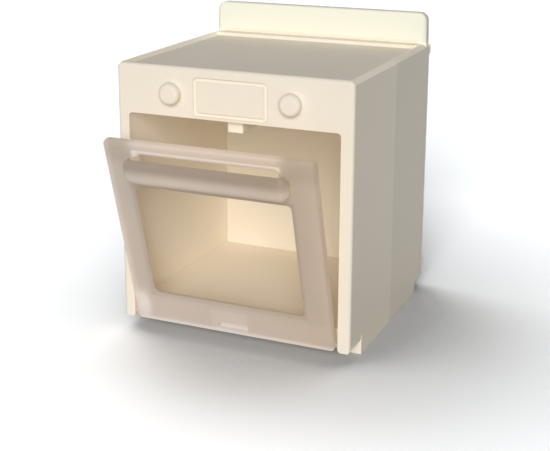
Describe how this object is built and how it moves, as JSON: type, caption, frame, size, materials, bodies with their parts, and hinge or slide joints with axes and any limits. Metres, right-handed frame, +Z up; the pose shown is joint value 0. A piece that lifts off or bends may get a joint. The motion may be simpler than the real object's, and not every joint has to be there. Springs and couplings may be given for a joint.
{
  "type": "toy oven",
  "caption": "Doll's-house toy oven in cream plastic, with an open cavity, a frosted drop-down door with a window and handle, turning knobs, a blank display and a splashback.",
  "frame": {"origin": "on the ground under the middle of the whole oven's width and depth, with the door ajar as it rests", "axes": "+Z up, -Y out of the oven's front towards whoever opens the door, +X to the right seen from the front"},
  "size_m": [0.0606, 0.0748, 0.0759],
  "materials": {
    "cream_plastic": "satin moulded cream plastic",
    "frosted_plastic": "frosted translucent plastic, warm grey",
    "clip_nylon": "natural nylon",
    "screw_steel": "plain steel"
  },
  "bodies": {
    "oven_body": {"body_housing": "cream_plastic", "oven_floor": "cream_plastic", "base_plate": "cream_plastic", "rear_cover": "cream_plastic", "door_catch": "cream_plastic", "display_panel": "cream_plastic", "base_screw_front_left": "screw_steel", "base_screw_front_right": "screw_steel", "base_screw_rear_left": "screw_steel", "base_screw_rear_right": "screw_steel", "cover_screw_left": "screw_steel", "cover_screw_right": "screw_steel"},
    "oven_door": {"door": "frosted_plastic"},
    "left_knob": {"knob_left": "cream_plastic", "knob_clip_left": "clip_nylon"},
    "right_knob": {"knob_right": "cream_plastic", "knob_clip_right": "clip_nylon"}
  },
  "joints": [
    {"name": "door_hinge", "type": "hinge", "parent": "oven_body", "child": "oven_door", "pos_m": [0, -0.02115, 0.0047], "axis": [1, 0, 0], "range_deg": [-16.2, 73.8]},
    {"name": "left_knob_turn", "type": "hinge", "parent": "oven_body", "child": "left_knob", "pos_m": [-0.01522, -0.02235, 0.0615], "axis": [0, -1, 0], "continuous": true},
    {"name": "right_knob_turn", "type": "hinge", "parent": "oven_body", "child": "right_knob", "pos_m": [0.01522, -0.02235, 0.0615], "axis": [0, -1, 0], "continuous": true}
  ]
}
